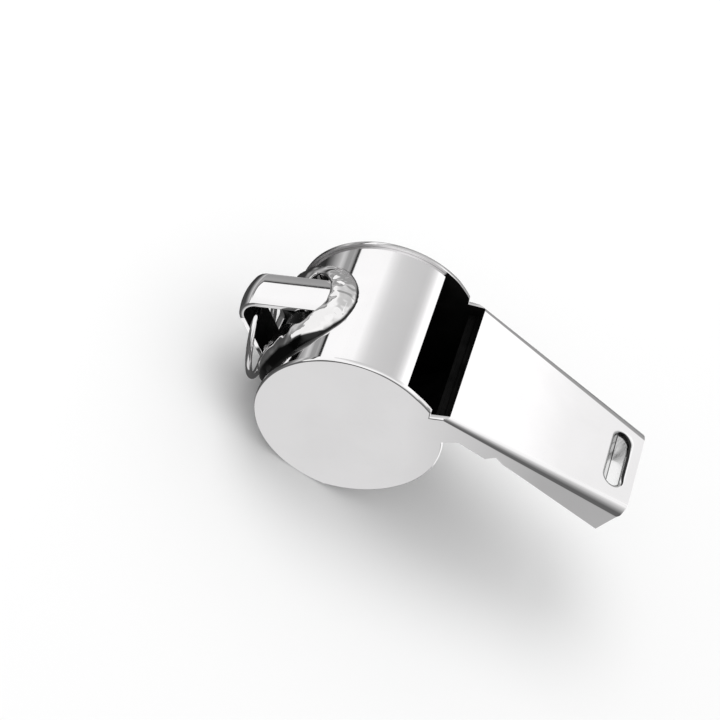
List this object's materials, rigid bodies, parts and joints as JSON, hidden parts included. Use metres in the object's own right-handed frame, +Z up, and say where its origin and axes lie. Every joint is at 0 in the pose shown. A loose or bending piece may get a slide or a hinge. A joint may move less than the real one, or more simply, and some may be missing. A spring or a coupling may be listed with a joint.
{
  "type": "sports whistle",
  "caption": "Polished metal pea whistle: round barrel between flat cheeks, tapered mouthpiece with a lanyard slot, soldered bail with a wire ring.",
  "frame": {"origin": "middle of the footprint, on the surface that the round belly stands on", "axes": "+X toward the mouth, +Y along the barrel's axis, away from the near cheek, +Z up, through the window side"},
  "size_m": [0.0466, 0.0186, 0.021],
  "materials": {
    "plated_sheet": "mirror polished bright plating",
    "solder": "plated over, lumpy and smooth",
    "steel_wire": "bright drawn wire",
    "cork": "turned cork"
  },
  "bodies": {
    "body": {"folded_shell": "plated_sheet", "barrel_wall": "plated_sheet", "windway_floor": "plated_sheet", "cheek_solder_near": "solder", "cheek_solder_far": "solder", "floor_solder": "solder", "slot_solder": "solder", "bail_strap": "plated_sheet", "bail_solder_top": "solder", "bail_solder_bottom": "solder"},
    "pea": {"pea": "cork"},
    "ring": {"lanyard_ring": "steel_wire"}
  },
  "joints": [
    {"name": "pea_roll", "type": "hinge", "parent": "body", "child": "pea", "pos_m": [-0.00711, 0, 0.0105], "axis": [0, 1, 0], "continuous": true},
    {"name": "ring_swing", "type": "hinge", "parent": "body", "child": "ring", "pos_m": [-0.02135, 0, 0.0105], "axis": [0, 1, 0], "range_deg": [0, 240]}
  ]
}
